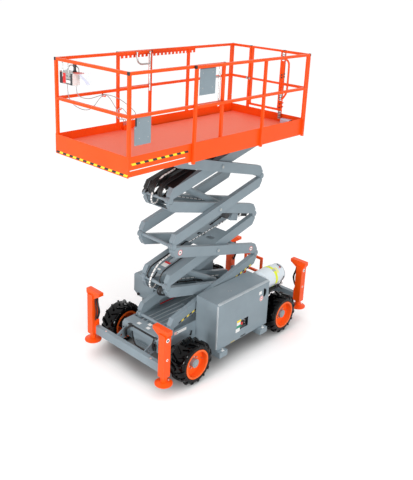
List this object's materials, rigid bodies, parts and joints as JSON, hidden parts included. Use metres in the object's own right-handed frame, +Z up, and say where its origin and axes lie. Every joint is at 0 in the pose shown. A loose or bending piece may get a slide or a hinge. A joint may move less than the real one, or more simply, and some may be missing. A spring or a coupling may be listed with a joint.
{
  "type": "aerial work platform",
  "caption": "Rough-terrain scissor lift with outrigger jacks, steered front wheels, roll-out deck extension, railed platform, gate and side cabinets.",
  "frame": {"origin": "on the ground below the middle of the overall box", "axes": "+X towards the steered end, +Y the machine's left side, +Z up"},
  "size_m": [3.829, 1.754, 4.4269],
  "materials": {
    "orange_paint": "gloss",
    "grey_paint": "satin",
    "dark_paint": "matte",
    "floor_paint": "matte",
    "white_paint": "gloss",
    "tyre_rubber": "matte",
    "rod_chrome": "polished",
    "steel_tube": "satin",
    "cord_sheath": "matte",
    "box_plastic": "matte"
  },
  "bodies": {
    "chassis": {"chassis_frame": "grey_paint", "beam_front": "grey_paint", "beam_rear": "grey_paint", "axle_front": "dark_paint", "axle_rear": "dark_paint", "jack_housings_front": "orange_paint", "jack_housings_rear": "orange_paint", "cabinet_left": "grey_paint", "cabinet_left_end": "grey_paint", "cabinet_right": "grey_paint", "control_panel": "box_plastic", "engine_block": "dark_paint", "gas_cylinder": "white_paint", "gas_cradle": "dark_paint", "ladder": "orange_paint"},
    "steering_left": {"knuckle_left": "dark_paint"},
    "door_left": {"door_left": "grey_paint"},
    "steering_right": {"knuckle_right": "dark_paint"},
    "door_right": {"door_right": "grey_paint"},
    "wheel_front_left": {"tyre_front_left": "tyre_rubber", "rim_front_left": "orange_paint"},
    "jack_leg_front_left": {"jack_leg_front_left": "rod_chrome"},
    "wheel_front_right": {"tyre_front_right": "tyre_rubber", "rim_front_right": "orange_paint"},
    "jack_leg_front_right": {"jack_leg_front_right": "rod_chrome"},
    "wheel_rear_left": {"tyre_rear_left": "tyre_rubber", "rim_rear_left": "orange_paint"},
    "jack_leg_rear_left": {"jack_leg_rear_left": "rod_chrome"},
    "wheel_rear_right": {"tyre_rear_right": "tyre_rubber", "rim_rear_right": "orange_paint"},
    "jack_leg_rear_right": {"jack_leg_rear_right": "rod_chrome"},
    "arms_1_outer": {"arms_1_outer": "grey_paint"},
    "arms_1_inner": {"arms_1_inner": "grey_paint"},
    "arms_2_outer": {"arms_2_outer": "grey_paint"},
    "arms_2_inner": {"arms_2_inner": "grey_paint"},
    "arms_3_outer": {"arms_3_outer": "grey_paint"},
    "arms_3_inner": {"arms_3_inner": "grey_paint"},
    "arms_4_outer": {"arms_4_outer": "grey_paint"},
    "arms_4_inner": {"arms_4_inner": "grey_paint"},
    "lift_barrel_lower": {"lift_barrel_lower": "grey_paint"},
    "lift_rod_lower": {"lift_rod_lower": "rod_chrome"},
    "lift_barrel_upper": {"lift_barrel_upper": "grey_paint"},
    "lift_rod_upper": {"lift_rod_upper": "rod_chrome"},
    "platform": {"deck_main": "orange_paint", "rails_left": "orange_paint", "rails_right": "orange_paint", "rails_rear": "orange_paint", "manual_box": "box_plastic", "floor_main": "floor_paint"},
    "extension": {"deck_extension": "orange_paint", "rails_extension": "orange_paint", "control_box": "box_plastic", "push_handles": "steel_tube", "cord_hooks": "orange_paint", "control_cord": "cord_sheath", "power_cord": "cord_sheath", "floor_extension": "floor_paint"},
    "gate": {"gate": "orange_paint"}
  },
  "joints": [
    {"name": "lift", "type": "hinge", "parent": "chassis", "child": "arms_1_outer", "pos_m": [0.7835, 0, 0.63], "axis": [0, 1, 0], "range_deg": [-14.3, 35]},
    {"name": "fold_1_inner", "type": "hinge", "parent": "arms_1_outer", "child": "arms_1_inner", "pos_m": [-0.14491, 0, 0.95149], "axis": [0, 1, 0], "range_deg": [-70.3, 28.9]},
    {"name": "fold_2_outer", "type": "hinge", "parent": "arms_1_outer", "child": "arms_2_outer", "pos_m": [-1.07333, 0, 1.27298], "axis": [0, 1, 0], "range_deg": [-70.3, 28.9]},
    {"name": "fold_2_inner", "type": "hinge", "parent": "arms_2_outer", "child": "arms_2_inner", "pos_m": [-0.14491, 0, 1.59448], "axis": [0, 1, 0], "range_deg": [-28.9, 70.3]},
    {"name": "fold_3_outer", "type": "hinge", "parent": "arms_2_outer", "child": "arms_3_outer", "pos_m": [0.7835, 0, 1.91597], "axis": [0, 1, 0], "range_deg": [-28.9, 70.3]},
    {"name": "fold_3_inner", "type": "hinge", "parent": "arms_3_outer", "child": "arms_3_inner", "pos_m": [-0.14491, 0, 2.23746], "axis": [0, 1, 0], "range_deg": [-70.3, 28.9]},
    {"name": "fold_4_outer", "type": "hinge", "parent": "arms_3_outer", "child": "arms_4_outer", "pos_m": [-1.07333, 0, 2.55895], "axis": [0, 1, 0], "range_deg": [-70.3, 28.9]},
    {"name": "fold_4_inner", "type": "hinge", "parent": "arms_4_outer", "child": "arms_4_inner", "pos_m": [-0.14491, 0, 2.88044], "axis": [0, 1, 0], "range_deg": [-28.9, 70.3]},
    {"name": "fold_platform", "type": "hinge", "parent": "arms_4_outer", "child": "platform", "pos_m": [0.7835, 0, 3.20193], "axis": [0, 1, 0], "range_deg": [-14.6, 35.3]},
    {"name": "lift_barrel_lower_swing", "type": "hinge", "parent": "arms_1_inner", "child": "lift_barrel_lower", "pos_m": [-0.50398, 0, 0.8591], "axis": [0, 1, 0], "range_deg": [-2.71, 1.22]},
    {"name": "lift_rod_lower_stroke", "type": "slide", "parent": "lift_barrel_lower", "child": "lift_rod_lower", "axis": [0.8737, 0, 0.4864], "range_m": [-0.1331, 0.3214]},
    {"name": "lift_barrel_upper_swing", "type": "hinge", "parent": "arms_3_inner", "child": "lift_barrel_upper", "pos_m": [-0.50398, 0, 2.14507], "axis": [0, 1, 0], "range_deg": [-2.71, 1.22]},
    {"name": "lift_rod_upper_stroke", "type": "slide", "parent": "lift_barrel_upper", "child": "lift_rod_upper", "axis": [0.8737, 0, 0.4864], "range_m": [-0.1331, 0.3214]},
    {"name": "steer_left", "type": "hinge", "parent": "chassis", "child": "steering_left", "pos_m": [0.772, 0.525, 0.32], "axis": [0, 0, 1], "range_deg": [-30, 30]},
    {"name": "steer_right", "type": "hinge", "parent": "chassis", "child": "steering_right", "pos_m": [0.772, -0.525, 0.32], "axis": [0, 0, 1], "range_deg": [-30.5, 30.5]},
    {"name": "spin_front_left", "type": "hinge", "parent": "steering_left", "child": "wheel_front_left", "pos_m": [0.772, 0.733, 0.32], "axis": [0, 1, 0], "continuous": true},
    {"name": "spin_rear_left", "type": "hinge", "parent": "chassis", "child": "wheel_rear_left", "pos_m": [-1.245, 0.733, 0.32], "axis": [0, 1, 0], "continuous": true},
    {"name": "spin_front_right", "type": "hinge", "parent": "steering_right", "child": "wheel_front_right", "pos_m": [0.772, -0.733, 0.32], "axis": [0, 1, 0], "continuous": true},
    {"name": "spin_rear_right", "type": "hinge", "parent": "chassis", "child": "wheel_rear_right", "pos_m": [-1.245, -0.733, 0.32], "axis": [0, 1, 0], "continuous": true},
    {"name": "jack_front_left", "type": "slide", "parent": "chassis", "child": "jack_leg_front_left", "axis": [0, 0, -1], "range_m": [0, 0.36]},
    {"name": "jack_front_right", "type": "slide", "parent": "chassis", "child": "jack_leg_front_right", "axis": [0, 0, -1], "range_m": [0, 0.36]},
    {"name": "jack_rear_left", "type": "slide", "parent": "chassis", "child": "jack_leg_rear_left", "axis": [0, 0, -1], "range_m": [0, 0.36]},
    {"name": "jack_rear_right", "type": "slide", "parent": "chassis", "child": "jack_leg_rear_right", "axis": [0, 0, -1], "range_m": [0, 0.36]},
    {"name": "extension_roll_out", "type": "slide", "parent": "platform", "child": "extension", "axis": [1, 0, 0], "range_m": [-1, 0.4]},
    {"name": "gate_swing", "type": "hinge", "parent": "platform", "child": "gate", "pos_m": [-1.4655, 0.271, 3.9], "axis": [0, 0, 1], "range_deg": [0, 90]},
    {"name": "door_left_swing", "type": "hinge", "parent": "chassis", "child": "door_left", "pos_m": [-0.2865, 0.789, 1], "axis": [1, 0, 0], "range_deg": [0, 85]},
    {"name": "door_right_swing", "type": "hinge", "parent": "chassis", "child": "door_right", "pos_m": [-0.2865, -0.789, 1], "axis": [-1, 0, 0], "range_deg": [0, 85]}
  ],
  "couplings": [
    {"joint": "fold_1_inner", "follows": "lift", "ratio": -2},
    {"joint": "fold_2_outer", "follows": "lift", "ratio": -2},
    {"joint": "fold_2_inner", "follows": "lift", "ratio": 2},
    {"joint": "fold_3_outer", "follows": "lift", "ratio": 2},
    {"joint": "fold_3_inner", "follows": "lift", "ratio": -2},
    {"joint": "fold_4_outer", "follows": "lift", "ratio": -2},
    {"joint": "fold_4_inner", "follows": "lift", "ratio": 2},
    {"joint": "fold_platform", "follows": "lift", "ratio": 1},
    {"joint": "lift_barrel_lower_swing", "follows": "lift", "ratio": -0.0716},
    {"joint": "lift_rod_lower_stroke", "follows": "lift", "m_per_rad": 0.5213},
    {"joint": "lift_barrel_upper_swing", "follows": "lift", "ratio": -0.0716},
    {"joint": "lift_rod_upper_stroke", "follows": "lift", "m_per_rad": 0.5213},
    {"joint": "steer_right", "follows": "steer_left", "ratio": 1}
  ]
}
